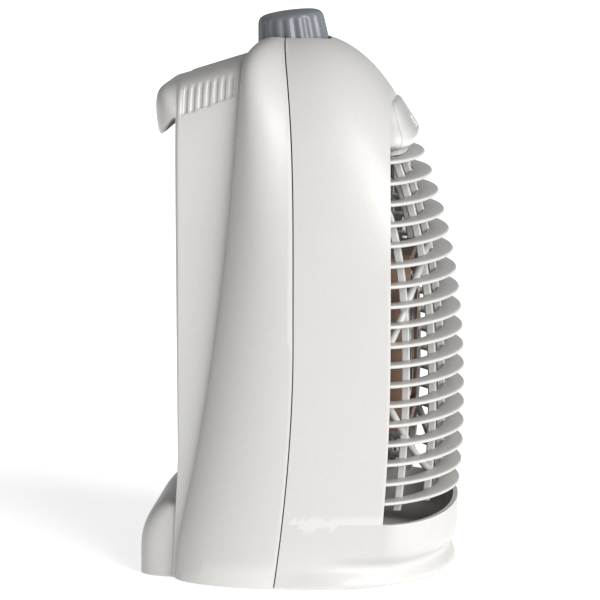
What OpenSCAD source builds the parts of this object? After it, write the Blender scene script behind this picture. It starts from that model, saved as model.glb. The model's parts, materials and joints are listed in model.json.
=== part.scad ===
// Ceramic space heater, free standing. Millimetres, +Z up, front towards -Y.
// The origin is on the floor, under the centre of the heater.

/* [Body] */
// Half width of the body at mid height
body_half_w = 88; // [84:1:92]
// Height of the shell at the seam
body_h = 299; // [290:1:305]
// Height of the outlet opening at its crown
arch_h = 264; // [258:1:268]
// Wall thickness of the shells
wall = 3; // [2:0.5:3.5]
// Half width of the narrow box at the back
box_half_w = 64; // [58:1:68]

/* [Grille] */
// Number of outlet slats
fin_count = 18; // [10:1:18]
// Distance between two slats
fin_pitch = 10.9; // [9:0.05:10.95]
// Thickness of one slat
fin_t = 2; // [1.5:0.1:3]
// Depth of one slat, front to back
fin_depth = 12; // [8:1:14]

/* [Knob] */
// Radius of the knob at its base
knob_r = 19.8; // [17:0.2:20]
// Number of flutes round the knob
flute_count = 18; // [12:1:24]
// Tilt of the knob towards the back
knob_tilt = 7; // [4:1:9]

/* [Fan] */
// Radius of the fan
fan_r = 51; // [44:1:52]
// Number of fan blades
blade_count = 7; // [5:1:9]
// Radius of the motor shaft
shaft_r = 2; // [1.5:0.25:2.5]

/* [Hidden] */
$fn = 48;

// Distances f run forwards from the parting plane, so y = y_mid - f.
y_mid = 3.7;
z0 = 0.8;
z_mid = 134;
z_band = 37.4;
shell_n = 2.6;
box_n = 7;
zf0 = 47;
fan_z = 130;
duct_f = 22;
switch_f = -3.5;
knob_z = 293.5;
well_r = knob_r + 1.3;
tip_x = 44;
tip_f = 8;
tip_r = 3.5;
screw_x = 66;
foot_pos = [[-52, 42], [52, 42], [-46, -38], [46, -38]];
gland_x = 40;
gland_z = 54;

function y_of(f) = y_mid - f;
function mix(a, b, t) = a + (b - a) * t;

// Side view curves of the parting line, the front rim, the crease and the back wall.
function seam_f(z) = z < z_mid ? 3.9 - 11.3 * pow((z_mid - z) / z_mid, 1.8)
    : 3.9 - 10.5 * pow((z - z_mid) / 165, 4);
function rim_f(z) = z < 130 ? 56.4 - 8 * pow((130 - z) / 130, 2)
    : 56.4 - 3.6 * pow((z - 130) / 134, 3);
function back_f(z) = z > 66 ? -62.4 - 0.004 * (z - 66) : -62.4 - 0.06 * (66 - z);
function crease_f(z) = max(back_f(z) + 2,
    -27.5 - 37 * pow(max(0, 1 - z / 290), 1.6) - 8 * exp(-z / 28));

// Arch-shaped section seen from the front: [x, z] for a point k of n_low + n_top on one half.
function low_w(w, z) = w * (1 - 0.05 * pow((z_mid - z) / z_mid, 2));
function arch(w, h, n, z_start, k, n_low, n_top) = k <= n_low
    ? let (z = mix(z_start, z_mid, k / n_low)) [low_w(w, z), z]
    : let (a = 90 * (k - n_low) / n_top, c = max(0, cos(a)),
        r = pow(pow(c, n) + pow(sin(a), n), -1 / n))
        [w * r * c, z_mid + (h - z_mid) * r * sin(a)];
function arch_w(w, h, n, z) = z < z_mid ? low_w(w, z)
    : w * pow(max(0, 1 - pow((z - z_mid) / (h - z_mid), n)), 1 / n);
function arch_2d(w, h, n, z_start, n_low, n_top) = concat(
    [for (k = [0:n_low + n_top]) let (p = arch(w, h, n, z_start, k, n_low, n_top)) [-p[0], p[1]]],
    [for (k = [n_low + n_top - 1:-1:0]) arch(w, h, n, z_start, k, n_low, n_top)]);

// Two triangles for a quad, a strip between two lists of indices.
function quad(a, b, c, d) = [[a, b, c], [a, c, d]];
function flat(lists) = [for (l = lists) for (e = l) e];

// Front shell: a band round the foot and a strip over the arch, in two skins.
n_side = 8;
n_bow = 12;
n_cols = 2 * (n_side + n_bow);
n_low = 5;
n_top = 12;
n_arch = 2 * (n_low + n_top);
band_z = [0.8, 2.5, 5, 8, 10.5, 13.5, 18, 26, z_band];
band_mix = [0, 0, 0, 0.1, 0.25, 0.55, 0.85, 1, 1];
band_r = [85, 86.5, 85.5, 83, 81, 81, 83, 85, 85];
bow_f = 89.5;
n_rows = len(band_z) - 1;

function side_w(z, s, t) = low_w(body_half_w - 3 * s * s - t, z);
function side_f(z, s) = mix(seam_f(z), rim_f(z), s);
function bow_pt(z, q, t) = let (w = side_w(z, 1, t), f0 = rim_f(z), b = bow_f - f0 - t)
    [w * pow(cos(90 * q), 0.95), f0 + b * sin(90 * q)];
function band_half(i, k, t) = let (
        z = band_z[i],
        d = k <= n_side ? [side_w(z, k / n_side, t), side_f(z, k / n_side)]
            : bow_pt(z, (k - n_side) / n_bow, t),
        a = k <= n_side ? 38 * k / n_side : mix(38, 90, (k - n_side) / n_bow),
        r = band_r[i] - t,
        c = [r * pow(cos(a), 0.9), 2 + r * pow(sin(a), 0.95)],
        m = k < 4 ? mix(1, band_mix[i], pow(k / 4, 2)) : band_mix[i])
    [mix(c[0], d[0], m), mix(c[1], d[1], m), z];
function band_pt(i, k, t) = k <= n_cols / 2
    ? let (p = band_half(i, k, t)) [-p[0], y_of(p[1]), p[2]]
    : let (p = band_half(i, n_cols - k, t)) [p[0], y_of(p[1]), p[2]];
function crown_h(s) = body_h - (body_h - arch_h) * pow(s, 2.8);
function rim_t(s, t) = t == 0 ? 0 : t + 3 * pow(s, 6);
function strip_pt(j, s, t) = let (
        q = s / n_side,
        tt = rim_t(q, t),
        k = j <= n_arch / 2 ? j : n_arch - j,
        p = arch(body_half_w - 3 * q * q - tt, crown_h(q) - tt, shell_n, z_band, k, n_low, n_top),
        x = j <= n_arch / 2 ? -p[0] : p[0])
    [x, y_of(side_f(p[1], q)), p[1]];

n_band_pts = (n_rows + 1) * (n_cols + 1);
n_front = n_band_pts + (n_arch - 1) * (n_side + 1);
function band_id(i, k) = i * (n_cols + 1) + k;
function strip_id(j, s) = j == 0 ? band_id(n_rows, s)
    : j == n_arch ? band_id(n_rows, n_cols - s)
    : n_band_pts + (j - 1) * (n_side + 1) + s;
function front_skin(t) = concat(
    [for (i = [0:n_rows]) for (k = [0:n_cols]) band_pt(i, k, t)],
    [for (j = [1:n_arch - 1]) for (s = [0:n_side]) strip_pt(j, s, t)]);
front_quads = concat(
    flat([for (i = [0:n_rows - 1]) for (k = [0:n_cols - 1])
        quad(band_id(i, k), band_id(i + 1, k), band_id(i + 1, k + 1), band_id(i, k + 1))]),
    flat([for (j = [0:n_arch - 1]) for (s = [0:n_side - 1])
        quad(strip_id(j, s), strip_id(j + 1, s), strip_id(j + 1, s + 1), strip_id(j, s + 1))]));
front_edge = concat(
    [for (k = [0:n_cols]) band_id(0, k)],
    [for (i = [1:n_rows]) band_id(i, n_cols)],
    [for (j = [n_arch - 1:-1:0]) strip_id(j, 0)],
    [for (i = [n_rows - 1:-1:1]) band_id(i, 0)]);
front_hole = concat(
    [for (k = [n_side:n_cols - n_side]) band_id(n_rows, k)],
    [for (j = [n_arch - 1:-1:1]) strip_id(j, n_side)]);
function edge_faces(loop, n, turned) = flat([for (i = [0:len(loop) - 1])
    let (a = loop[i], b = loop[(i + 1) % len(loop)])
    turned ? quad(b, a, a + n, b + n) : quad(a, b, b + n, a + n)]);
function sheet_faces(faces, n) = concat(faces, [for (q = faces) [q[2] + n, q[1] + n, q[0] + n]]);

// Round opening for the knob, cut through both shells.
module knob_opening() {
    on_knob_axis()
    translate([0, 0, -12])
    cylinder(h = 24, r = well_r + 0.3);
}

module front_shell() {
    color("gainsboro")
    difference() {
        polyhedron(
            points = concat(front_skin(0), front_skin(wall)),
            faces = concat(
                sheet_faces(front_quads, n_front),
                edge_faces(front_edge, n_front, false),
                edge_faces(front_hole, n_front, true)));
        knob_opening();
    }
}

// Rear shell: cheeks from the parting line to the crease, then the box, open at the back.
n_cheek = 7;
n_box = 4;
n_rear = n_cheek + n_box;
r_low = 10;
r_top = 12;
n_round = 2 * (r_low + r_top);
seam_gap = 0.3;

function box_h(f) = 286.5 + 0.285 * (f + 22);
function rear_pt(c, j, t) = let (
        k = j <= n_round / 2 ? j : n_round - j,
        u = min(1, c / n_cheek),
        v = max(0, (c - n_cheek) / n_box),
        su = sin(84 * u) / sin(84),
        cu = (cos(84 * u) - cos(84)) / (1 - cos(84)),
        n = mix(shell_n, box_n, pow(u, 1.5)),
        inset = v == 1 ? 2.5 : 0,
        w = mix(box_half_w - 2 * v, body_half_w, cu) - t - inset,
        h = mix(box_h(mix(-22, -60, v)), body_h, cu) - t - inset,
        p = arch(w, h, n, z0, k, r_low, r_top),
        z = p[1],
        f = v == 0 ? mix(seam_f(z) - seam_gap, crease_f(z), su)
            : mix(crease_f(z), back_f(z), v),
        x = j <= n_round / 2 ? -p[0] : p[0])
    [x, y_of(f), z];
n_rear_pts = (n_rear + 1) * (n_round + 1);
function rear_id(c, j) = c * (n_round + 1) + j;
function rear_skin(t) = [for (c = [0:n_rear]) for (j = [0:n_round]) rear_pt(c, j, t)];
rear_quads = flat([for (c = [0:n_rear - 1]) for (j = [0:n_round - 1])
    quad(rear_id(c, j), rear_id(c + 1, j), rear_id(c + 1, j + 1), rear_id(c, j + 1))]);
rear_edge = concat(
    [for (c = [0:n_rear]) rear_id(c, 0)],
    [for (j = [1:n_round]) rear_id(n_rear, j)],
    [for (c = [n_rear - 1:-1:0]) rear_id(c, n_round)],
    [for (j = [n_round - 1:-1:1]) rear_id(0, j)]);

module rear_shell() {
    color("gainsboro")
    difference() {
        polyhedron(
            points = concat(rear_skin(0), rear_skin(wall)),
            faces = concat(
                sheet_faces(rear_quads, n_rear_pts),
                edge_faces(rear_edge, n_rear_pts, true)));
        knob_opening();
    }
}

// Stands a front view outline upright, from forward distance f over a depth d towards the back.
module upright(f, d) {
    translate([0, y_of(f), 0])
    rotate([90, 0, 0])
    translate([0, 0, -d])
    linear_extrude(d)
    children();
}

// Side view outline [f, z], drawn across the width w and centred on x.
module across(w, x = 0) {
    translate([x - w / 2, y_mid, 0])
    rotate([90, 0, 90])
    linear_extrude(w)
    mirror([1, 0])
    children();
}

grille_f = -57.4;
panel_w = 56.6;
slot_count = 15;
slot_pitch = 8.8;
grip_z = 214;
module rear_grille() {
    color("gainsboro")
    difference() {
        upright(grille_f, 3)
        polygon(arch_2d(panel_w, 268, box_n, 2, 4, 10));
        upright(grille_f + 0.5, 4)
        translate([-48, grip_z])
        square([96, 48]);
        for (i = [0:slot_count - 1])
        for (s = [-1, 1])
        upright(grille_f + 0.5, 4)
        translate([s * 25 - 20, 74 + slot_pitch * i])
        square([40, 4]);
        translate([gland_x, y_of(grille_f + 0.5), gland_z])
        rotate([-90, 0, 0])
        cylinder(h = 5, r = 7.2);
    }
}

module grip_recess() {
    color("lightgray")
    difference() {
        translate([-47.8, y_of(-40), grip_z + 0.2])
        cube([95.6, 22, 47.6]);
        translate([-45.3, y_of(-43), grip_z + 3])
        cube([90.6, 30, 42]);
    }
}

lip_outer = [[-64.3, 274.4], [-70, 272.8], [-74.4, 270.8], [-76.2, 267.5], [-76.9, 262],
    [-76.4, 255], [-75.4, 248], [-74, 245.2]];
lip_inner = [[-72.4, 246], [-73.2, 252], [-73.6, 258], [-73, 264], [-71, 267.8], [-64.3, 270]];
lip_end = [[-72.4, 246], [-68, 252], [-64.3, 258]];
module carry_handle() {
    color("gainsboro")
    union() {
        across(116)
        polygon(concat(lip_outer, lip_inner));
        for (s = [-1, 1])
        across(3, s * 56.5)
        polygon(concat(lip_outer, lip_end));
    }
}

foot_w = 118;
function foot_pts(t) = concat(
    [for (i = [0:8]) let (z = mix(z0 - t, 42 - t, i / 8)) [back_f(z) - 0.3 - t, z]],
    [for (i = [0:9]) let (a = mix(acos((1.4 + t) / (22.8 - t)), 0, i / 9))
        [-62.8 - (22.8 - t) * cos(a), 16.5 + (27.5 - t) * sin(a)]],
    [[-85.6 + t, z0 - t]]);
module rear_foot() {
    color("gainsboro")
    difference() {
        across(foot_w)
        polygon(foot_pts(0));
        across(foot_w - 2 * wall)
        polygon(foot_pts(wall));
    }
}

module base_plate() {
    color("dimgray")
    difference() {
        translate([0, 0, 2])
        linear_extrude(3)
        union() {
            intersection() {
                translate([0, y_of(2)])
                circle(r = 80);
                translate([-90, y_of(90)])
                square([180, 96]);
            }
            translate([-57, y_of(0)])
            square([114, 57]);
        }
        translate([tip_x, y_of(tip_f), 0])
        cylinder(h = 12, r = tip_r + 0.5);
        for (p = foot_pos)
        translate([p[0], y_of(p[1]), 0])
        cylinder(h = 12, r = 3);
        for (s = [-1, 1])
        translate([s * screw_x, y_of(10), 0])
        cylinder(h = 12, r = 1.7);
    }
}

module rubber_feet() {
    color("darkslategray")
    for (p = foot_pos)
    translate([p[0], y_of(p[1]), 0])
    union() {
        cylinder(h = 2, r1 = 6.5, r2 = 7);
        cylinder(h = 5.2, r = 2.9);
        translate([0, 0, 5])
        cylinder(h = 1.6, r1 = 4, r2 = 3);
    }
}

// Outlet grille: bowed slats on upright bars, in one frame behind the rim.
grille_w = 77;
grille_h = 256;
bow_n = 0.65;
function fin_z(i) = zf0 + fin_pitch * i;
function tip_front(z) = z > 90 ? 93 - 23 * pow((z - 90) / 142, 2.5)
    : 93 - 2.4 * pow((90 - z) / 43, 2);
function fin_w(z) = arch_w(grille_w, grille_h, shell_n, z) - 0.4;
function fin_f(x, z, t) = let (f0 = rim_f(z) - 3, b = tip_front(z) - t - f0)
    f0 + b * pow(max(0, 1 - pow(min(1, abs(x) / (fin_w(z) - t)), 2)), bow_n);
function fin_line(z, t, back) = concat(
    [[-fin_w(z) + t, y_of(back)]],
    [for (q = [0:20]) let (a = 180 * q / 20, c = cos(a),
        x = -(fin_w(z) - t) * c) [x, y_of(fin_f(x, z, t))]],
    [[fin_w(z) - t, y_of(back)]]);
module fin(z) {
    translate([0, 0, z - fin_t / 2])
    linear_extrude(fin_t)
    difference() {
        polygon(fin_line(z, 0, 47));
        polygon(fin_line(z, fin_depth, 40));
    }
}
bar_w = 4;
function bar_f(x, z) = fin_f(x, z, fin_depth);
module bar(x, top) {
    steps = 24;
    across(bar_w, x)
    polygon(concat(
        [for (i = [0:steps]) let (z = mix(40.5, top, i / steps)) [bar_f(x, z) + 1, z]],
        [for (i = [steps:-1:0]) let (z = mix(40.5, top, i / steps)) [bar_f(x, z) - 3.6, z]]));
}
module front_grille() {
    color("gainsboro")
    union() {
        for (i = [0:fin_count - 1])
        fin(fin_z(i));
        for (i = [-1:1])
        bar(28 * i, 233);
        for (s = [-1, 1])
        bar(56 * s, 222);
        upright(48.6, 3)
        difference() {
            polygon(arch_2d(grille_w, grille_h, shell_n, z_band + 2, 4, 14));
            polygon(arch_2d(grille_w - 6, grille_h - 6, shell_n, z_band + 8, 4, 14));
        }
    }
}

// Round finger guard in the mouth of the element frame.
module guard_ring() {
    color("silver")
    translate([0, y_of(62.5), fan_z])
    rotate([-90, 0, 0])
    union() {
        cylinder(h = 2.5, r = 6);
        for (r = [17, 33])
        difference() {
            cylinder(h = 2.5, r = r + 2.5);
            translate([0, 0, -1])
            cylinder(h = 5, r = r);
        }
        for (a = [0:90:270])
        rotate([0, 0, a])
        translate([4, -1, 0.4])
        cube([33.8, 2, 1.7]);
    }
}

// Nose over the grille: [z, half width, front f, back f] of each level.
nose_levels = [[237.6, 42, 63, 52], [239.6, 44, 65.6, 52], [243, 44, 66.9, 52], [247, 40.5, 65.4, 52],
    [252, 34, 61.4, 54], [257, 27, 58, 54.3], [260.5, 19, 56, 54.4]];
nose_tilt = 40;
function d_shape(w, front, back) = concat(
    [for (q = [0:16]) let (a = 180 * q / 16, c = cos(a))
        [-w * sign(c) * pow(abs(c), 0.7), y_of(mix(back, front, pow(sin(a), 0.7)))]]);
module lens_place() {
    translate([0, y_of(63.3), 249.2])
    rotate([-nose_tilt, 0, 0])
    children();
}
module nose_bezel() {
    color("white")
    difference() {
        union() {
            hull()
            for (v = nose_levels)
            translate([0, 0, v[0]])
            linear_extrude(0.1)
            polygon(d_shape(v[1], v[2], v[3]));
            translate([0, 0, 233.7])
            linear_extrude(5)
            polygon(d_shape(30, 60.5, 52));
        }
        lens_place()
        cube([15.4, 5, 7.8], center = true);
    }
}

module pilot_lens() {
    color("darkgray")
    lens_place()
    translate([0, 1.8, 0])
    cube([15, 1.2, 7.4], center = true);
}
module pilot_lamp() {
    color("salmon")
    translate([0, y_of(43.4), 245])
    rotate([90, 0, 0])
    cylinder(h = 8, r = 2.5);
}

// Control knob on its tilted shaft.
module on_knob_axis() {
    translate([0, y_of(switch_f), knob_z])
    rotate([-knob_tilt, 0, 0])
    children();
}
module control_knob() {
    color("slategray")
    on_knob_axis()
    difference() {
        union() {
            cylinder(h = 3, r = knob_r);
            translate([0, 0, 2.5])
            linear_extrude(12.5)
            polygon([for (i = [0:8 * flute_count - 1]) let (a = 360 * i / (8 * flute_count),
                r = knob_r - 1.8 + 0.7 * cos(flute_count * a)) [r * cos(a), r * sin(a)]]);
            translate([0, 0, 15])
            cylinder(h = 3, r1 = knob_r - 2.8, r2 = knob_r - 5.5);
        }
        translate([0, 0, -1])
        cylinder(h = 13, r = 3.04);
    }
}
module knob_well() {
    color("dimgray")
    on_knob_axis()
    difference() {
        union() {
            translate([0, 0, -3.2])
            cylinder(h = 2.8, r = well_r);
            translate([0, 0, -9.3])
            cylinder(h = 7, r = 9.2);
        }
        translate([0, 0, -2])
        cylinder(h = 6, r = well_r - 0.9);
        translate([0, 0, -12])
        cylinder(h = 8.8, r = 7.6);
        translate([0, 0, -5])
        cylinder(h = 6, r = 3.4);
    }
}
module switch_shaft() {
    color("goldenrod")
    on_knob_axis()
    translate([0, 0, -16])
    cylinder(h = 27, r = 3);
}
module switch_nut() {
    color("silver")
    on_knob_axis()
    translate([0, 0, -9])
    difference() {
        cylinder(h = 2.5, r = 7, $fn = 6);
        translate([0, 0, -1])
        cylinder(h = 5, r = 3.3);
    }
}
module switch_bracket() {
    color("silver")
    on_knob_axis()
    translate([0, 0, -11])
    difference() {
        translate([-40, -12, 0])
        cube([80, 24, 1.6]);
        translate([0, 0, -1])
        cylinder(h = 5, r = 5);
    }
}
module switch_body() {
    color("saddlebrown")
    on_knob_axis()
    translate([0, 0, -31])
    difference() {
        union() {
            translate([-17, -12, 0])
            cube([34, 24, 19.6]);
            for (i = [-1:1])
            translate([i * 10 - 3, -0.4, -8])
            cube([6, 0.8, 8]);
        }
        translate([0, 0, 14])
        cylinder(h = 10, r = 3.05);
    }
}

// Ceramic element: stones between finned blocks, in a heat-proof frame.
module element_frame() {
    color("sandybrown")
    difference() {
        translate([-44, y_of(64), fan_z - 48])
        cube([88, 42, 96]);
        translate([-38, y_of(65), fan_z - 42])
        cube([76, 44, 84]);
    }
}
module element_fins() {
    color("silver")
    for (b = [-1:1])
    translate([b * 25, 0, 0])
    union() {
        for (s = [-1, 1])
        translate([s * 9.4 - 0.6, y_of(38), fan_z - 41])
        cube([1.2, 14, 82]);
        for (i = [0:20])
        translate([-8.9, y_of(38), fan_z - 40.4 + 4 * i])
        cube([17.8, 14, 0.6]);
    }
}
module element_ceramic() {
    color("dimgray")
    for (s = [-1, 1])
    for (i = [0:2])
    translate([s * 12.5 - 1.2, y_of(37), fan_z - 39 + 26.5 * i])
    cube([2.4, 12, 25]);
}
module element_terminals() {
    color("silver")
    for (b = [-1:1])
    translate([b * 25 - 3, y_of(31.4), fan_z + 48.2])
    cube([6, 0.8, 12]);
}

// Air duct from the fan to the outlet, round at the fan and square at the element.
module air_duct() {
    color("lightgray")
    difference() {
        translate([-52, y_of(duct_f - 0.4), fan_z - 56])
        cube([104, 3, 112]);
        translate([-40, y_of(duct_f + 1), fan_z - 44])
        cube([80, 6, 88]);
    }
}
module fan_shroud() {
    color("lightgray")
    translate([0, y_of(duct_f - 4), fan_z])
    rotate([-90, 0, 0])
    difference() {
        cylinder(h = 26, r = fan_r + 4.5);
        translate([0, 0, -1])
        cylinder(h = 28, r = fan_r + 1.5);
    }
}
module fan_impeller() {
    color("whitesmoke")
    translate([0, y_of(duct_f - 5), fan_z])
    rotate([-90, 0, 0])
    difference() {
        union() {
            cylinder(h = 18, r = 12);
            for (i = [0:blade_count - 1])
            rotate([0, 0, 360 * i / blade_count])
            intersection() {
                rotate([36, 0, 0])
                translate([9, -14, 2.5])
                cube([60, 28, 1.8]);
                translate([0, 0, 1])
                cylinder(h = 16, r = fan_r);
            }
        }
        translate([0, 0, -1])
        cylinder(h = 20, r = shaft_r + 0.02);
    }
}
module fan_nut() {
    color("gold")
    translate([0, y_of(duct_f - 1), fan_z])
    rotate([-90, 0, 0])
    difference() {
        cylinder(h = 3.6, r = 4, $fn = 6);
        translate([0, 0, -1])
        cylinder(h = 6, r = shaft_r + 0.02);
    }
}
motor_f = -11;
module motor_shaft() {
    color("silver")
    translate([0, y_of(duct_f - 1.5), fan_z])
    rotate([-90, 0, 0])
    cylinder(h = 64, r = shaft_r);
}
module motor_rotor() {
    color("darkgray")
    translate([0, y_of(motor_f - 0.5), fan_z])
    rotate([-90, 0, 0])
    difference() {
        cylinder(h = 17, r = 12);
        translate([0, 0, -1])
        cylinder(h = 20, r = shaft_r + 0.02);
    }
}
module motor_stator() {
    color("gray")
    translate([0, y_of(motor_f), fan_z])
    rotate([-90, 0, 0])
    difference() {
        translate([-24, -22, 0])
        cube([48, 62, 16]);
        translate([0, 0, -1])
        cylinder(h = 20, r = 12.6);
        for (s = [-1, 1])
        translate([s * 8 - 4.5, 20, -1])
        cube([9, 12, 20]);
    }
}
module motor_coil() {
    color("peru")
    translate([0, y_of(motor_f + 3.9), fan_z])
    rotate([-90, 0, 0])
    difference() {
        translate([-11.6, 20.4, 0])
        cube([23.2, 11.2, 23.8]);
        translate([-3.7, 18, 3.7])
        cube([7.4, 16, 16.4]);
    }
}
module motor_bracket() {
    color("silver")
    translate([0, y_of(motor_f + 2), fan_z])
    rotate([-90, 0, 0])
    difference() {
        union() {
            translate([-55, -7, -0.9])
            cube([110, 14, 1.6]);
            translate([0, 0, -2])
            cylinder(h = 2.8, r = 6);
        }
        translate([0, 0, -3])
        cylinder(h = 6, r = shaft_r + 0.05);
    }
}
module motor_screws() {
    color("silver")
    for (s = [-1, 1])
    for (x = [18, 50])
    translate([s * x, y_of(motor_f + 1.3), fan_z])
    rotate([-90, 0, 0])
    cylinder(h = 1.2, r = 2.6);
}
module thermal_cutout() {
    color("silver")
    translate([12.5, y_of(36), fan_z + 56.6])
    rotate([-90, 0, 0])
    union() {
        cylinder(h = 3, r = 8);
        translate([0, 0, 3])
        cylinder(h = 6, r = 7);
    }
}

// Tip-over switch: a sprung plunger that the floor holds in.
module tip_switch() {
    color("black")
    translate([tip_x, y_of(tip_f), 0])
    difference() {
        translate([-10, -8, 5.2])
        cube([20, 16, 26]);
        translate([0, 0, 5])
        cylinder(h = 20, r = tip_r + 0.06);
    }
}
module tip_plunger() {
    color("ivory")
    translate([tip_x, y_of(tip_f), 0.3])
    cylinder(h = 14, r = tip_r);
}
function coil_pt(i, k) = let (a = 36 * i, b = 60 * k)
    [(2.4 + 0.4 * cos(b)) * cos(a), (2.4 + 0.4 * cos(b)) * sin(a), 14.9 + 0.16 * i + 0.4 * sin(b)];
module tip_spring() {
    color("silver")
    translate([tip_x, y_of(tip_f), 0])
    polyhedron(
        points = [for (i = [0:56]) for (k = [0:5]) coil_pt(i, k)],
        faces = concat(
            [[5, 4, 3, 2, 1, 0]],
            flat([for (i = [0:55]) for (k = [0:5])
                quad(6 * i + k, 6 * i + (k + 1) % 6, 6 * i + 6 + (k + 1) % 6, 6 * i + 6 + k)]),
            [[336, 337, 338, 339, 340, 341]]));
}

module terminal_block() {
    color("ivory")
    translate([-40, y_of(-22), 5])
    difference() {
        cube([30, 14, 15]);
        for (i = [0:2])
        translate([6.5 + 9 * i, 7, 6])
        cylinder(h = 12, r = 2);
    }
}
module wiring() {
    color("firebrick")
    for (i = [0:2])
    translate([-33.5 + 9 * i, y_of(-29), 20.5])
    cylinder(h = 170 + 8 * i, r = 1.4);
}
module cord_gland() {
    color("black")
    translate([gland_x, y_of(grille_f + 3.4), gland_z])
    rotate([-90, 0, 0])
    difference() {
        union() {
            cylinder(h = 12, r = 7);
            translate([0, 0, 6.7])
            cylinder(h = 2, r = 9);
        }
        translate([0, 0, -1])
        cylinder(h = 20, r = 4);
    }
}
module case_screws() {
    color("silver")
    for (s = [-1, 1])
    for (z = [66, 207])
    translate([s * 52, y_of(grille_f - 3), z])
    rotate([-90, 0, 0])
    cylinder(h = 2, r = 3.4);
}
module base_screws() {
    color("silver")
    for (s = [-1, 1])
    translate([s * screw_x, y_of(10), 0.9])
    union() {
        cylinder(h = 1.1, r = 3.2);
        cylinder(h = 10, r = 1.6);
    }
}

front_shell();
rear_shell();
rear_grille();
grip_recess();
carry_handle();
rear_foot();
base_plate();
rubber_feet();
front_grille();
guard_ring();
nose_bezel();
pilot_lens();
pilot_lamp();
control_knob();
knob_well();
switch_shaft();
switch_body();
switch_nut();
switch_bracket();
element_frame();
element_fins();
element_ceramic();
element_terminals();
air_duct();
fan_shroud();
fan_impeller();
fan_nut();
motor_shaft();
motor_rotor();
motor_stator();
motor_coil();
motor_bracket();
motor_screws();
thermal_cutout();
tip_switch();
tip_plunger();
tip_spring();
terminal_block();
wiring();
cord_gland();
case_screws();
base_screws();
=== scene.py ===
"""Looks of the ceramic space heater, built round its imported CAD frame. Metres, front towards -Y."""
import json
import math
import bmesh
import bpy
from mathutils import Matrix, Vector


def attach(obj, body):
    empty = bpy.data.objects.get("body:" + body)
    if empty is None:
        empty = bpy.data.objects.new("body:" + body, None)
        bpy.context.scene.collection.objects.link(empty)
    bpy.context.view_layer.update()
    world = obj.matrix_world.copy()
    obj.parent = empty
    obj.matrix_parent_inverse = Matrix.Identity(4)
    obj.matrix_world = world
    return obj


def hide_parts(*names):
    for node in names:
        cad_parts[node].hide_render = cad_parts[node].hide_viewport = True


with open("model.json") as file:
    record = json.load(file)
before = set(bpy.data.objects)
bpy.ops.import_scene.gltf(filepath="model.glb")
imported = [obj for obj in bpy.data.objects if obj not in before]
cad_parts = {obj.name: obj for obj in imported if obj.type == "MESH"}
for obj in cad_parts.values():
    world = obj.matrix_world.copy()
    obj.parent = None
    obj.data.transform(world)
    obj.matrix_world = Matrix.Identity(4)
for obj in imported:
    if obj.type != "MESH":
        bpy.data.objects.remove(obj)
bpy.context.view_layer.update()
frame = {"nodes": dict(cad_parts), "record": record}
NODES = frame["nodes"]
MM = 0.001

# Side view curves, in millimetres. Distances f run forwards from the parting plane: y = Y_MID - f.
Y_MID = 3.7
Z0, Z_MID, Z_BAND = 0.8, 134.0, 37.4
HALF_W, BODY_H, ARCH_H, BOX_W = 88.0, 299.0, 264.0, 64.0
SHELL_N, BOX_N, BOW_N = 2.6, 7.0, 0.65


def mix(a, b, t):
    return a + (b - a) * t


def smooth(a, b, x):
    t = min(1.0, max(0.0, (x - a) / (b - a)))
    return t * t * (3 - 2 * t)


def curve(table, x):
    """Smooth reading of a short table of (x, value) pairs."""
    if x <= table[0][0]:
        return table[0][1]
    for k in range(len(table) - 1):
        (xa, va), (xb, vb) = table[k], table[k + 1]
        if x <= xb:
            before, after = table[max(0, k - 1)], table[min(len(table) - 1, k + 2)]
            ma = (vb - before[1]) / (xb - before[0]) * (xb - xa)
            mb = (after[1] - va) / (after[0] - xa) * (xb - xa)
            t = (x - xa) / (xb - xa)
            return ((2 * t ** 3 - 3 * t ** 2 + 1) * va + (t ** 3 - 2 * t ** 2 + t) * ma
                    + (3 * t ** 2 - 2 * t ** 3) * vb + (t ** 3 - t ** 2) * mb)
    return table[-1][1]


def seam_f(z):
    if z < Z_MID:
        return 3.9 - 11.3 * ((Z_MID - z) / Z_MID) ** 1.8
    return 3.9 - 10.5 * ((z - Z_MID) / 165) ** 4


def rim_f(z):
    if z < 130:
        return 56.4 - 8 * ((130 - z) / 130) ** 2
    return 56.4 - 3.6 * ((z - 130) / 134) ** 3


def back_f(z):
    return -62.4 - 0.004 * (z - 66) if z > 66 else -62.4 - 0.06 * (66 - z)


def crease_f(z):
    free = -27.5 - 37 * max(0, 1 - z / 290) ** 1.6 - 8 * math.exp(-z / 28)
    floor = back_f(z) + 2
    return floor + 1.5 * math.log1p(math.exp((free - floor) / 1.5))


def low_w(w, z):
    return w * (1 - 0.05 * ((Z_MID - z) / Z_MID) ** 2)


def arch(w, h, n, z_start, q, split=0.3):
    """Half of an arch seen from the front: q 0 at the foot, split at mid height, 1 at the crown."""
    if q <= split:
        z = mix(z_start, Z_MID, q / split)
        return low_w(w, z), z
    a = math.pi / 2 * (q - split) / (1 - split)
    c, s = max(0.0, math.cos(a)), math.sin(a)
    r = (c ** n + s ** n) ** (-1 / n)
    return w * r * c, Z_MID + (h - Z_MID) * r * s


def arch_w(w, h, n, z):
    if z < Z_MID:
        return low_w(w, z)
    return w * max(0.0, 1 - ((z - Z_MID) / (h - Z_MID)) ** n) ** (1 / n)


# Materials ------------------------------------------------------------------------------------

def new_material(name):
    mat = bpy.data.materials.new(name)
    mat.use_nodes = True
    return mat, mat.node_tree, mat.node_tree.nodes["Principled BSDF"]


def add(tree, kind, **values):
    node = tree.nodes.new(kind)
    for key, value in values.items():
        setattr(node, key, value)
    return node


def ramp(tree, source, stops):
    node = add(tree, "ShaderNodeValToRGB")
    elements = node.color_ramp.elements
    while len(elements) < len(stops):
        elements.new(0.5)
    for element, (pos, color) in zip(elements, stops):
        element.position = pos
        element.color = tuple(color) + (1.0,)
    tree.links.new(source, node.inputs["Fac"])
    return node.outputs["Color"]


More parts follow.
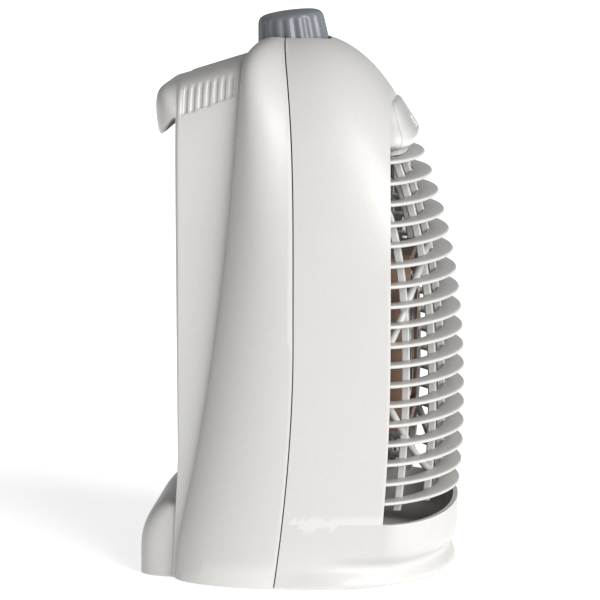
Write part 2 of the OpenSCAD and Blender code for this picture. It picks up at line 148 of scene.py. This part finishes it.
def noise(tree, scale, detail=3.0, rough=0.5):
    coord = add(tree, "ShaderNodeTexCoord")
    node = add(tree, "ShaderNodeTexNoise")
    node.inputs["Scale"].default_value = scale
    node.inputs["Detail"].default_value = detail
    node.inputs["Roughness"].default_value = rough
    tree.links.new(coord.outputs["Object"], node.inputs["Vector"])
    return node.outputs["Fac"]


def remap(tree, source, low, high):
    node = add(tree, "ShaderNodeMapRange")
    node.inputs["From Min"].default_value = 0.3
    node.inputs["From Max"].default_value = 0.7
    node.inputs["To Min"].default_value = low
    node.inputs["To Max"].default_value = high
    tree.links.new(source, node.inputs["Value"])
    return node.outputs["Result"]


def tinted(tree, base, factor, other, blend="MIX"):
    node = add(tree, "ShaderNodeMixRGB", blend_type=blend)
    for socket, value in (("Fac", factor), ("Color1", base), ("Color2", other)):
        if isinstance(value, (tuple, list)):
            node.inputs[socket].default_value = tuple(value) + (1.0,) if len(value) == 3 else value
        elif isinstance(value, float):
            node.inputs[socket].default_value = value
        else:
            tree.links.new(value, node.inputs[socket])
    return node.outputs["Color"]


def edge_mask(tree, low=0.52, high=0.6):
    """White along convex edges, from the surface's own pointiness."""
    geo = add(tree, "ShaderNodeNewGeometry")
    node = add(tree, "ShaderNodeMapRange")
    node.inputs["From Min"].default_value = low
    node.inputs["From Max"].default_value = high
    tree.links.new(geo.outputs["Pointiness"], node.inputs["Value"])
    return node.outputs["Result"]


def bump(tree, bsdf, height, strength, distance):
    node = add(tree, "ShaderNodeBump")
    node.inputs["Strength"].default_value = strength
    node.inputs["Distance"].default_value = distance
    tree.links.new(height, node.inputs["Height"])
    tree.links.new(node.outputs["Normal"], bsdf.inputs["Normal"])


def plastic(name, color, rough=(0.42, 0.52), grain=1800.0, depth=0.00004, coat=0.0, spec=0.5,
            drift=0.015, wear=0.05):
    """Moulded plastic: slow colour drift, fine sparked grain, paler worn edges."""
    mat, tree, bsdf = new_material(name)
    dark = tuple(c * (1 - drift) for c in color)
    pale = tuple(min(1.0, c * (1 + drift * 0.7)) for c in color)
    slow = ramp(tree, noise(tree, 14.0, 4.0, 0.55), [(0.3, dark), (0.55, color), (0.8, pale)])
    specks = ramp(tree, noise(tree, 420.0, 2.0), [(0.42, (0.985,) * 3), (0.5, (1.0,) * 3)])
    body = tinted(tree, slow, 1.0, specks, "MULTIPLY")
    worn = tuple(min(1.0, c + wear) for c in color)
    tree.links.new(tinted(tree, body, edge_mask(tree), worn), bsdf.inputs["Base Color"])
    tree.links.new(remap(tree, noise(tree, 55.0, 5.0), *rough), bsdf.inputs["Roughness"])
    bsdf.inputs["Specular IOR Level"].default_value = spec
    bsdf.inputs["Coat Weight"].default_value = coat
    bsdf.inputs["Coat Roughness"].default_value = 0.12
    bump(tree, bsdf, noise(tree, grain, 4.0, 0.6), 0.5, depth)
    return mat


def metal(name, color, rough=(0.28, 0.42), grain=600.0):
    """Plated or bare metal: brushed roughness, faint tarnish."""
    mat, tree, bsdf = new_material(name)
    bsdf.inputs["Metallic"].default_value = 1.0
    dark = tuple(c * 0.8 for c in color)
    tree.links.new(ramp(tree, noise(tree, 60.0, 5.0), [(0.35, dark), (0.6, color)]),
                   bsdf.inputs["Base Color"])
    tree.links.new(remap(tree, noise(tree, 240.0, 4.0), *rough), bsdf.inputs["Roughness"])
    bump(tree, bsdf, noise(tree, grain, 3.0), 0.3, 0.00003)
    return mat


SHELL_COLOR = (0.455, 0.449, 0.436)
MATS = {
    "shell_plastic": plastic("shell_plastic", SHELL_COLOR, rough=(0.36, 0.46)),
    "dark_plastic": plastic("dark_plastic", (0.03, 0.03, 0.031), rough=(0.45, 0.6)),
    "rubber": plastic("rubber", (0.025, 0.025, 0.026), rough=(0.7, 0.85), grain=900.0),
    "bright_metal": metal("bright_metal", (0.6, 0.6, 0.61)),
    "gloss_white": plastic("gloss_white", (0.5, 0.5, 0.49), rough=(0.2, 0.3), coat=0.35,
                           depth=0.00001, drift=0.02),
    "lens": plastic("lens", (0.42, 0.41, 0.4), rough=(0.12, 0.2), coat=0.5, depth=0.00001),
    "lamp_glass": plastic("lamp_glass", (0.75, 0.4, 0.2), rough=(0.08, 0.15), depth=0.00001),
    "knob_plastic": plastic("knob_plastic", (0.125, 0.134, 0.15), rough=(0.36, 0.46), coat=0.1,
                            depth=0.00001, wear=0.05),
    "brass": metal("brass", (0.72, 0.55, 0.27)),
    "resin": plastic("resin", (0.2, 0.1, 0.05), rough=(0.45, 0.6)),
    "aluminium": metal("aluminium", (0.78, 0.78, 0.8)),
    "ceramic": plastic("ceramic", (0.1, 0.095, 0.09), rough=(0.6, 0.75)),
    "duct_plastic": plastic("duct_plastic", (0.6, 0.585, 0.55), rough=(0.4, 0.5)),
    "core_steel": metal("core_steel", (0.3, 0.3, 0.32), rough=(0.45, 0.6)),
    "coil_copper": metal("coil_copper", (0.65, 0.3, 0.13)),
    "wire_red": plastic("wire_red", (0.4, 0.03, 0.02), rough=(0.35, 0.5)),
}
for part in frame["record"]["subparts"]:
    node = NODES[part["node"]]
    node.data.materials.clear()
    node.data.materials.append(MATS[part["material_slot"]])


# Mesh helpers ---------------------------------------------------------------------------------

def finish_mesh(bm, name, mat, angle=40.0):
    bmesh.ops.remove_doubles(bm, verts=bm.verts, dist=1e-7)
    bmesh.ops.recalc_face_normals(bm, faces=bm.faces)
    mesh = bpy.data.meshes.new(name)
    bm.to_mesh(mesh)
    bm.free()
    mesh.materials.append(mat)
    for poly in mesh.polygons:
        poly.use_smooth = True
    mesh.set_sharp_from_angle(angle=math.radians(angle))
    obj = bpy.data.objects.new(name, mesh)
    bpy.context.scene.collection.objects.link(obj)
    return obj


def grid(bm, rows, wrap=False):
    """Quads between rows of points given in millimetres as (x, f, z)."""
    made = [[bm.verts.new((x * MM, (Y_MID - f) * MM, z * MM)) for x, f, z in row] for row in rows]
    for ra, rb in zip(made, made[1:]):
        count = len(ra) if wrap else len(ra) - 1
        for i in range(count):
            j = (i + 1) % len(ra)
            quad = [ra[i], rb[i], rb[j], ra[j]]
            if len(set(quad)) == 4:
                bm.faces.new(quad)
    return made


def apply_modifiers(obj):
    deps = bpy.context.evaluated_depsgraph_get()
    mesh = bpy.data.meshes.new_from_object(obj.evaluated_get(deps))
    old = obj.data
    obj.modifiers.clear()
    obj.data = mesh
    bpy.data.meshes.remove(old)


def thicken(obj, thickness, edge=0.0006, offset=-1.0):
    """Gives a skin its wall and rounds the cut edges."""
    solid = obj.modifiers.new("wall", "SOLIDIFY")
    solid.thickness = thickness
    solid.offset = offset
    solid.use_even_offset = True
    solid.use_quality_normals = True
    bevel = obj.modifiers.new("edge", "BEVEL")
    bevel.width = edge
    bevel.segments = 3
    bevel.limit_method = "ANGLE"
    bevel.angle_limit = math.radians(50)
    bevel.harden_normals = True
    apply_modifiers(obj)


def place(obj, body, slot, *replaced):
    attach(obj, body)
    if replaced:
        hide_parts(*replaced)
    return obj


# Front shell: sides and crown, the cowl under the outlet and the round foot -------------------

BAND_MIX = [(0.8, 0), (5, 0), (9, 0.08), (12, 0.25), (15, 0.52), (19, 0.84), (27, 1), (39, 1)]
BAND_R = [(0.8, 85.2), (2.5, 86.4), (5, 86), (8, 84.4), (11, 82.3), (14, 81.2), (17, 82.2), (21, 84),
          (27, 85), (39, 85)]
CORNER, BOW_FRONT = 38.0, 89.4
KNOB_LEAN, KNOB_F, KNOB_Z, WELL_R = 7.0, -3.5, 293.5, 21.3
SIDE_STEPS, BOW_STEPS, ARCH_STEPS = 26, 36, 110
BAND_Z = [0.8, 1.3, 2, 2.8, 3.8, 5, 6.2, 7.5, 8.8, 10, 11.2, 12.5, 14, 15.6, 17.5, 20, 23, 27, 31, 34.5, 37.4]


def side_w(z, s):
    return low_w(HALF_W - 3 * s * s, z)


def side_f(z, s):
    return mix(seam_f(z) + 0.35, rim_f(z), s)


def band_half(z, s, q):
    """s runs from the seam to the rim (q 0), then q from the rim to the middle of the front."""
    if q <= 0:
        w, f, a = side_w(z, s), side_f(z, s), CORNER * s
    else:
        w = side_w(z, 1.0) * max(0.0, math.cos(math.pi / 2 * q)) ** 0.95
        f = rim_f(z) + (BOW_FRONT - rim_f(z)) * math.sin(math.pi / 2 * q)
        a = mix(CORNER, 90.0, q)
    if q >= 1:
        w = 0.0
    r, a = curve(BAND_R, z), math.radians(a)
    cx, cf = r * max(0.0, math.cos(a)) ** 0.9, 2 + r * math.sin(a) ** 0.95
    if q >= 1:
        cx = 0.0
    m = curve(BAND_MIX, z)
    if q <= 0:
        m = mix(1.0, m, smooth(0.0, 0.6, s))
    return mix(cx, w, m), mix(cf, f, m), z


def crown_h(s):
    return BODY_H - (BODY_H - ARCH_H) * s ** 2.8


def both_sides(left):
    """A row of points from the left foot over the crown and down the right side."""
    return left + [(-x, f, z) for x, f, z in left[-2::-1]]


def on_knob_axis(x, f, z):
    """Point of the knob's own frame, in the frame of the heater."""
    t = math.radians(KNOB_LEAN)
    return (x, KNOB_F + f * math.cos(t) - z * math.sin(t),
            KNOB_Z + f * math.sin(t) + z * math.cos(t))


def cut_knob_opening(obj):
    bm = bmesh.new()
    rings = []
    for h in (-12, 12):
        rings.append([on_knob_axis(WELL_R * math.cos(2 * math.pi * i / 96),
                                   WELL_R * math.sin(2 * math.pi * i / 96), h) for i in range(96)])
    made = grid(bm, rings, True)
    for ring in made:
        bm.faces.new(ring)
    cutter = finish_mesh(bm, "knob_cutter", MATS["dark_plastic"])
    cut = obj.modifiers.new("knob opening", "BOOLEAN")
    cut.operation = "DIFFERENCE"
    cut.solver = "EXACT"
    cut.object = cutter
    apply_modifiers(obj)
    bpy.data.objects.remove(cutter)


def front_shell():
    bm = bmesh.new()
    half = [(s / SIDE_STEPS, 0.0) for s in range(SIDE_STEPS + 1)]
    half += [(1.0, q / BOW_STEPS) for q in range(1, BOW_STEPS + 1)]
    rows = []
    for z in BAND_Z:
        rows.append(both_sides([(-x, f, zz) for x, f, zz in (band_half(z, s, q) for s, q in half)]))
    grid(bm, rows)
    rows = []
    for i in range(SIDE_STEPS + 1):
        s = i / SIDE_STEPS
        left = []
        for j in range(ARCH_STEPS + 1):
            x, z = arch(HALF_W - 3 * s * s, crown_h(s), SHELL_N, Z_BAND, j / ARCH_STEPS)
            left.append((-x, side_f(z, s), z))
        rows.append(both_sides(left))
    # The lip round the outlet: a small radius, then a face that looks forwards.
    for back, inward in ((0.0, 0.35), (-0.25, 0.9), (-0.6, 2.2), (-0.9, 5.0), (-1.6, 5.6), (-3.2, 5.8)):
        left = []
        for j in range(ARCH_STEPS + 1):
            x, z = arch(HALF_W - 3 - inward, ARCH_H - inward, SHELL_N, Z_BAND, j / ARCH_STEPS)
            left.append((-x, rim_f(z) + back, z))
        rows.append(both_sides(left))
    grid(bm, rows)
    obj = finish_mesh(bm, "front_shell_skin", MATS["shell_plastic"], 60)
    thicken(obj, 0.0026, 0.0004)
    cut_knob_opening(obj)
    return place(obj, "housing", "shell_plastic", "front_shell")


# Rear shell: cheeks, swoop crease, narrow box with a ribbed grip on each side ------------------

CHEEK_STEPS, BOX_STEPS = 36, 110
RIB_FIRST, RIB_LAST, RIB_COUNT = -59.8, -30.5, 7


def box_h(f):
    return 286.5 + 0.285 * (f + 22)


def rib_inset(f, z):
    """Depth of the grip panel on the side of the box, in millimetres."""
    low = 257.0 + 0.366 * (f + 61)
    high = box_h(f) - 2.0
    inside = smooth(RIB_FIRST - 0.8, RIB_FIRST, f) * (1 - smooth(RIB_LAST, RIB_LAST + 0.8, f))
    inside *= smooth(low, low + 0.5, z) * (1 - smooth(high - 5, high, z))
    t = (f - RIB_FIRST) / (RIB_LAST - RIB_FIRST) * RIB_COUNT
    rib = 0.5 + 0.5 * math.cos(2 * math.pi * t)
    return inside * (1.5 - 0.95 * smooth(0.3, 0.7, rib))


def rear_point(u, v, q):
    turn = math.radians(84)
    su = math.sin(turn * u) / math.sin(turn)
    cu = (math.cos(turn * u) - math.cos(turn)) / (1 - math.cos(turn))
    n = mix(SHELL_N, BOX_N, u ** 1.5)
    w = mix(BOX_W - 2 * v, HALF_W, cu)
    h = mix(box_h(mix(-22, -61, v)), BODY_H, cu)
    edge = smooth(0.93, 1.0, v) ** 2 * 1.4
    x, z = arch(w - edge, h, n, Z0, q)
    if v == 0:
        f = mix(seam_f(z) - 0.35, crease_f(z), su)
    else:
        f = mix(crease_f(z), back_f(z), v)
        if z > 240:
            x -= rib_inset(f, z)
    return -x, f, z


def rear_stations():
    """Arch stations, close together where the grip panels are."""
    low = [0.3 * i / 16 for i in range(16)]
    mid = [mix(0.3, 0.62, i / 24) for i in range(24)]
    grip = [mix(0.62, 0.86, i / 110) for i in range(110)]
    top = [mix(0.86, 1.0, i / 20) for i in range(21)]
    return low + mid + grip + top


def rear_shell():
    bm = bmesh.new()
    stations = rear_stations()
    columns = [(u / CHEEK_STEPS, 0.0) for u in range(CHEEK_STEPS + 1)]
    columns += [(1.0, v / BOX_STEPS) for v in range(1, BOX_STEPS + 1)]
    rows = [both_sides([rear_point(u, v, q) for q in stations]) for u, v in columns]
    grid(bm, rows)
    obj = finish_mesh(bm, "rear_shell_skin", MATS["shell_plastic"], 60)
    thicken(obj, 0.0024, 0.0004)
    cut_knob_opening(obj)
    return place(obj, "housing", "shell_plastic", "rear_shell")


def seam_shade_strip():
    """The tongue behind the parting line, made in dark plastic as painted shade so the seam gap reads as a
    dark hairline.
    """
    bm = bmesh.new()
    rows = []
    for df in (-2.5, 2.5):
        left = []
        for i in range(ARCH_STEPS + 1):
            x, z = arch(HALF_W - 1.2, BODY_H - 1.2, SHELL_N, Z0 + 0.4, i / ARCH_STEPS)
            left.append((-x, seam_f(z) + df, z))
        rows.append(both_sides(left))
    grid(bm, rows)
    # dark_plastic on this strip is painted shade for the gap, not the colour of the white shells
    obj = finish_mesh(bm, "seam_shade_strip", MATS["dark_plastic"], 60)
    thicken(obj, 0.0006, 0.0001)
    cut_knob_opening(obj)
    return place(obj, "housing", "dark_plastic")


# Hooked grip at the top of the back, and the foot at the bottom of it -------------------------

LIP = [(0, -61.8, 275.2), (1, -67.5, 273.5), (2, -72.6, 271.9), (3, -75.4, 269.2), (4, -76.7, 264.5),
       (5, -76.8, 259), (6, -76.2, 253), (7, -75.2, 247.4), (8, -74, 244.9)]


def carry_handle():
    """Lip that grows out of the rear outline of the box, hooks down and thins out at both ends."""
    bm = bmesh.new()
    steps, cols = 34, 96
    f_of = [(k, f) for k, f, z in LIP]
    z_of = [(k, z) for k, f, z in LIP]
    rows = []
    for i in range(steps + 1):
        k = 8 * i / steps
        f, z = curve(f_of, k), curve(z_of, k)
        half, z_end = mix(55.4, 57.2, k / 8), mix(262.0, 257.0, k / 8)
        row = []
        for j in range(cols + 1):
            t = -math.copysign(abs(math.cos(math.pi * j / cols)) ** 0.4, math.cos(math.pi * j / cols))
            wrap = max(0.0, 1 - abs(t) ** 6) ** 0.5
            row.append((half * t, mix(-61.8, f, wrap), mix(z, z_end, abs(t) ** 8.3)))
        rows.append(row)
    grid(bm, rows)
    obj = finish_mesh(bm, "carry_handle_lip", MATS["shell_plastic"], 60)
    thicken(obj, 0.0028, 0.0008)
    return place(obj, "housing", "shell_plastic", "carry_handle")


def rear_foot():
    bm = bmesh.new()
    rows = []
    profile = []
    for i in range(25):
        a = math.radians(90 * (1 - i / 24))
        profile.append((-62.6 - 22.8 * math.cos(a) ** 0.92, 15.5 + 28.3 * math.sin(a)))
    profile += [(-85.5, z) for z in (12, 8, 4, 2, 0.8)]
    for f, z in profile:
        row = []
        for j in range(73):
            a = math.pi * j / 72
            x = -59 * math.copysign(abs(math.cos(a)) ** 0.25, math.cos(a))
            wrap = max(0.0, 1 - abs(x / 59.0) ** 13) ** 0.5
            row.append((x, -60 + (f + 60) * wrap, z - 3 * (1 - wrap) * smooth(20, 44, z)))
        rows.append(row)
    grid(bm, rows)
    obj = finish_mesh(bm, "rear_foot_shell", MATS["shell_plastic"], 60)
    thicken(obj, 0.0026, 0.0006)
    return place(obj, "housing", "shell_plastic", "rear_foot")


# Outlet grille: bowed slats with rounded rims, upright bars, a rib ring and the frame ----------

FIN_COUNT, FIN_PITCH, FIN_FIRST, FIN_DEPTH = 18, 10.9, 47.0, 12.0
GRILLE_W, GRILLE_H = 77.0, 256.0
RING_R, RING_Z = 66, 117


def tip_front(z):
    return 93 - 23 * ((z - 90) / 142) ** 2.5 if z > 90 else 93 - 2.4 * ((90 - z) / 43) ** 2


def fin_w(z):
    return arch_w(GRILLE_W, GRILLE_H, SHELL_N, z) - 0.4


def fin_f(x, z, t):
    f0 = rim_f(z) - 3
    reach = tip_front(z) - t - f0
    return f0 + reach * max(0.0, 1 - min(1, abs(x) / (fin_w(z) - t)) ** 2) ** BOW_N


def tube(bm, sections):
    """Solid lofted through closed sections, ends filled."""
    made = grid(bm, sections, True)
    bm.faces.new(made[0][::-1])
    bm.faces.new(made[-1])


def fin_section(xo, fo, xi, fi, z, r):
    length = math.hypot(xo - xi, fo - fi)
    dx, df = (xo - xi) / length, (fo - fi) / length
    pts = []
    for sign, cx, cf in ((1, xo, fo), (-1, xi, fi)):
        for i in range(7):
            a = math.radians(-90 + 30 * i)
            along = sign * (math.cos(a) - 1) * r
            pts.append((cx + dx * along, cf + df * along, z + sign * r * math.sin(a)))
    return pts


def front_grille():
    bm = bmesh.new()
    for i in range(FIN_COUNT):
        z = FIN_FIRST + FIN_PITCH * i
        w = fin_w(z)
        sections = [fin_section(-w, 47, -w + 12, 47, z, 1.0)]
        for j in range(49):
            a = math.pi * j / 48
            c = math.cos(a)
            xo = -w * c
            xi = -(w - FIN_DEPTH) * c
            sections.append(fin_section(xo, fin_f(xo, z, 0) - 0.05, xi, fin_f(xi, z, FIN_DEPTH), z, 1.0))
        sections.append(fin_section(w, 47, w - 12, 47, z, 1.0))
        tube(bm, sections)
    for x, top in ((0, 233), (-28, 233), (28, 233), (-56, 222), (56, 222)):
        sections = []
        for j in range(41):
            z = mix(40.5, top, j / 40)
            front, back = fin_f(x, z, FIN_DEPTH) + 1, fin_f(x, z, FIN_DEPTH) - 3.6
            sections.append([(x - 2, back + 0.7, z), (x - 1.3, back, z),
                             (x + 1.3, back, z), (x + 2, back + 0.7, z),
                             (x + 2, front - 0.7, z), (x + 1.3, front, z),
                             (x - 1.3, front, z), (x - 2, front - 0.7, z)])
        tube(bm, sections)
    ring = []
    for j in range(97):
        a = 2 * math.pi * j / 96
        x, z = RING_R * math.cos(a), RING_Z + RING_R * math.sin(a)
        f = fin_f(x, z, FIN_DEPTH) - 1.0
        ring.append([(x + 1.7 * math.cos(a) * math.cos(b), f + 2.2 * math.sin(b),
                      z + 1.7 * math.sin(a) * math.cos(b)) for b in (math.pi * k / 5 for k in range(10))])
    grid(bm, ring, True)
    frame_rows = []
    for inward, f in ((0, 48.6), (0, 45.8), (0.3, 45.6), (5.7, 45.6), (6, 45.9), (6, 48.3),
                      (5.7, 48.6), (0.3, 48.6)):
        left = []
        for q in range(ARCH_STEPS + 1):
            x, z = arch(GRILLE_W - inward, GRILLE_H - inward, SHELL_N, 41 + inward, q / ARCH_STEPS)
            left.append((-x, f, z))
        frame_rows.append(both_sides(left))
    frame_rows.append(frame_rows[0])
    grid(bm, frame_rows)
    obj = finish_mesh(bm, "outlet_grille", MATS["shell_plastic"], 40)
    return place(obj, "housing", "shell_plastic", "front_grille")


# Nose over the grille: a satin mound that carries a glossy cap with the pilot light window ------

NOSE_F = [(236.9, 59.6), (237.4, 61.6), (238.2, 63.6), (239.7, 65.5), (241.2, 66.5), (243, 66.8),
          (245, 66.3), (247.5, 65.0), (250.8, 62.8), (254.8, 60.2), (258.5, 57.8), (260.8, 56.4), (262, 55.2)]
NOSE_W = [(236.9, 38), (239.7, 43.5), (243, 44), (247.5, 42), (252, 38.5), (257, 35), (260.8, 30), (262, 26)]


WINDOW_F, WINDOW_Z, WINDOW_TILT = 63.3, 249.2, 40.0
NOSE_BACK, NOSE_TOP = 51.6, 262.4


def nose_point(z, a, shrink=0.0):
    c = math.cos(a)
    w, front = curve(NOSE_W, z) - shrink, curve(NOSE_F, z) - shrink
    back = mix(51.0, 51.6, smooth(249, 257, z))
    x = -w * math.copysign(abs(c) ** 0.7, c)
    return x, mix(back, front, math.sin(a) ** 0.6), z


def nose():
    levels = [236.9, 237.1, 237.4, 237.8, 238.3, 239, 239.8, 240.7, 241.8, 243, 244.3, 245.8, 247.5, 249.2,
              251, 252.8, 254.6, 256.4, 258.2, 259.6, 260.8, 261.6, 262]
    cols, low, high = 64, 8, 56
    for name, mat, first, last, shrink in (("nose_mound", "shell_plastic", 0, cols, 0.35),
                                           ("nose_cap", "gloss_white", low, high, 0.0)):
        bm = bmesh.new()
        angles = [math.pi * k / cols for k in range(first, last + 1)]
        rows = [[nose_point(z, a, shrink) for a in angles] for z in levels]
        if name == "nose_mound":
            neck = [(-30 * math.copysign(abs(math.cos(a)) ** 0.8, math.cos(a)),
                     mix(52, 60.3, math.sin(a) ** 0.8)) for a in angles]
            rows = [[(x, f, z) for x, f in neck] for z in (233.7, 234.0, 236.2)] + rows
        rows.append([(x, NOSE_BACK, NOSE_TOP) for x, f, z in rows[-1]])
        grid(bm, rows)
        obj = finish_mesh(bm, name, MATS[mat], 50)
        thicken(obj, 0.0012 if name == "nose_mound" else 0.0014, 0.0004)
        if name == "nose_cap":
            window(obj)
        place(obj, "housing", mat, "nose_bezel")


def nose_skirt():
    """Plate that closes the top of the outlet round the mound, flush with the lip of the shell."""
    bm = bmesh.new()
    rows = []
    for i in range(25):
        z = 237.2 + 25.4 * i / 24
        w = arch_w(HALF_W - 5.2, ARCH_H - 1.2, SHELL_N, z)
        rows.append([(w * (j / 24 - 1), rim_f(z) - 1.4, z) for j in range(49)])
    grid(bm, rows)
    obj = finish_mesh(bm, "nose_skirt", MATS["shell_plastic"], 50)
    thicken(obj, 0.0012, 0.0002)
    place(obj, "housing", "shell_plastic", "nose_bezel")


def window(obj):
    """Oblique window in the cap, with the lens set back in it."""
    bm = bmesh.new()
    t = math.radians(WINDOW_TILT)
    rings = []
    for depth in (-3.5, 5.0):
        ring = []
        for cx, cz in ((1, 1), (-1, 1), (-1, -1), (1, -1)):
            for i in range(5):
                a = math.radians({(1, 1): 0, (-1, 1): 90, (-1, -1): 180, (1, -1): 270}[(cx, cz)] + 22.5 * i)
                x, up = cx * 6.7 + math.cos(a), cz * 2.9 + math.sin(a)
                ring.append((x, WINDOW_F + depth * math.cos(t) - up * math.sin(t),
                             WINDOW_Z + depth * math.sin(t) + up * math.cos(t)))
        rings.append(ring)
    made = grid(bm, rings, True)
    for ring in made:
        bm.faces.new(ring)
    cutter = finish_mesh(bm, "window_cutter", MATS["dark_plastic"])
    cut = obj.modifiers.new("window", "BOOLEAN")
    cut.operation = "DIFFERENCE"
    cut.solver = "EXACT"
    cut.object = cutter
    apply_modifiers(obj)
    bpy.data.objects.remove(cutter)


# Knob: tapered, with broad soft flutes and a domed top ----------------------------------------

KNOB = [(0.0, 19.2), (0.35, 19.65), (1.2, 19.7), (4, 19.45), (8, 19.0), (12, 18.5), (13.6, 18.15),
        (14.8, 17.5), (15.8, 16.5), (16.6, 15.0), (17.1, 13), (17.5, 10), (17.8, 6), (17.95, 2.5)]
FLUTES = 18


def control_knob():
    bm = bmesh.new()
    around = FLUTES * 16
    heights = [0.0, 0.35, 1.2, 2.6, 4, 6, 8, 10, 12, 12.8, 13.6, 14.2, 14.8, 15.3, 15.8, 16.2, 16.6, 16.9,
               17.1, 17.3, 17.5, 17.65, 17.8, 17.9, 17.95]
    rows = []
    for r, h in ((3.1, 12.0), (3.1, 0.0)):
        rows.append([on_knob_axis(r * math.cos(2 * math.pi * i / around),
                                  r * math.sin(2 * math.pi * i / around), h) for i in range(around)])
    for h in heights:
        base = curve(KNOB, h)
        depth = 0.95 * smooth(0.6, 2.0, h) * (1 - smooth(12.6, 15.4, h))
        row = []
        for i in range(around):
            a = 2 * math.pi * i / around
            wave = 0.5 - 0.5 * math.cos(FLUTES * a)
            r = base - depth * wave ** 1.3
            row.append(on_knob_axis(r * math.cos(a), r * math.sin(a), h))
        rows.append(row)
    made = grid(bm, rows, True)
    bm.faces.new(made[-1])
    bm.faces.new(made[0])
    obj = finish_mesh(bm, "knob_body", MATS["knob_plastic"], 50)
    return place(obj, "knob", "knob_plastic", "control_knob")


front_shell()
rear_shell()
seam_shade_strip()
carry_handle()
rear_foot()
front_grille()
nose()
nose_skirt()
control_knob()

# Floor, light and camera ------------------------------------------------------------------------

AZIMUTH, ELEVATION, DISTANCE = -85.0, 8.7, 2.0
PX_PER_M = 1775.0


def stage_mesh(name, mat):
    bm = bmesh.new()
    bmesh.ops.create_grid(bm, x_segments=2, y_segments=2, size=6.0)
    mesh = bpy.data.meshes.new(name)
    bm.to_mesh(mesh)
    bm.free()
    mesh.materials.append(mat)
    obj = bpy.data.objects.new(name, mesh)
    bpy.context.scene.collection.objects.link(obj)
    return obj


def sun(name, azimuth, elevation, power, angle, color=(1, 1, 1)):
    """Soft distant light that comes from the given azimuth (0 is the front) and elevation."""
    light = bpy.data.lights.new(name, "SUN")
    light.energy = power
    light.angle = math.radians(angle)
    light.color = color
    obj = bpy.data.objects.new(name, light)
    a, e = math.radians(azimuth), math.radians(elevation)
    towards = Vector((math.sin(a) * math.cos(e), -math.cos(a) * math.cos(e), math.sin(e)))
    obj.rotation_euler = (-towards).to_track_quat("-Z", "Y").to_euler()
    bpy.context.scene.collection.objects.link(obj)
    return obj


floor_mat, _, floor_bsdf = new_material("studio_floor")
floor_bsdf.inputs["Base Color"].default_value = (0.95, 0.95, 0.95, 1)
floor_bsdf.inputs["Roughness"].default_value = 0.9
floor_bsdf.inputs["Emission Color"].default_value = (1, 1, 1, 1)
floor_bsdf.inputs["Emission Strength"].default_value = 0.6
floor_bsdf.inputs["Specular IOR Level"].default_value = 0.1
stage_mesh("studio_floor", floor_mat)

world = bpy.data.worlds.new("studio")
bpy.context.scene.world = world
world.use_nodes = True
world.node_tree.nodes["Background"].inputs["Color"].default_value = (1, 1, 1, 1)
world.node_tree.nodes["Background"].inputs["Strength"].default_value = 0.29

sun("key", -42.0, 20.0, 4.3, 46.0)

az, el = math.radians(AZIMUTH), math.radians(ELEVATION)
back_dir = Vector((math.sin(az) * math.cos(el), -math.cos(az) * math.cos(el), math.sin(el)))
aim = Vector((0, Y_MID * MM, 0.148))
cam = bpy.data.cameras.new("camera")
cam.sensor_width = 36.0
cam.lens = 36.0 * PX_PER_M * DISTANCE / 600.0
cam_obj = bpy.data.objects.new("camera", cam)
cam_obj.location = aim + back_dir * DISTANCE
cam_obj.rotation_euler = (-back_dir).to_track_quat("-Z", "Y").to_euler()
bpy.context.scene.collection.objects.link(cam_obj)
bpy.context.scene.camera = cam_obj
bpy.context.scene.view_settings.view_transform = "Standard"
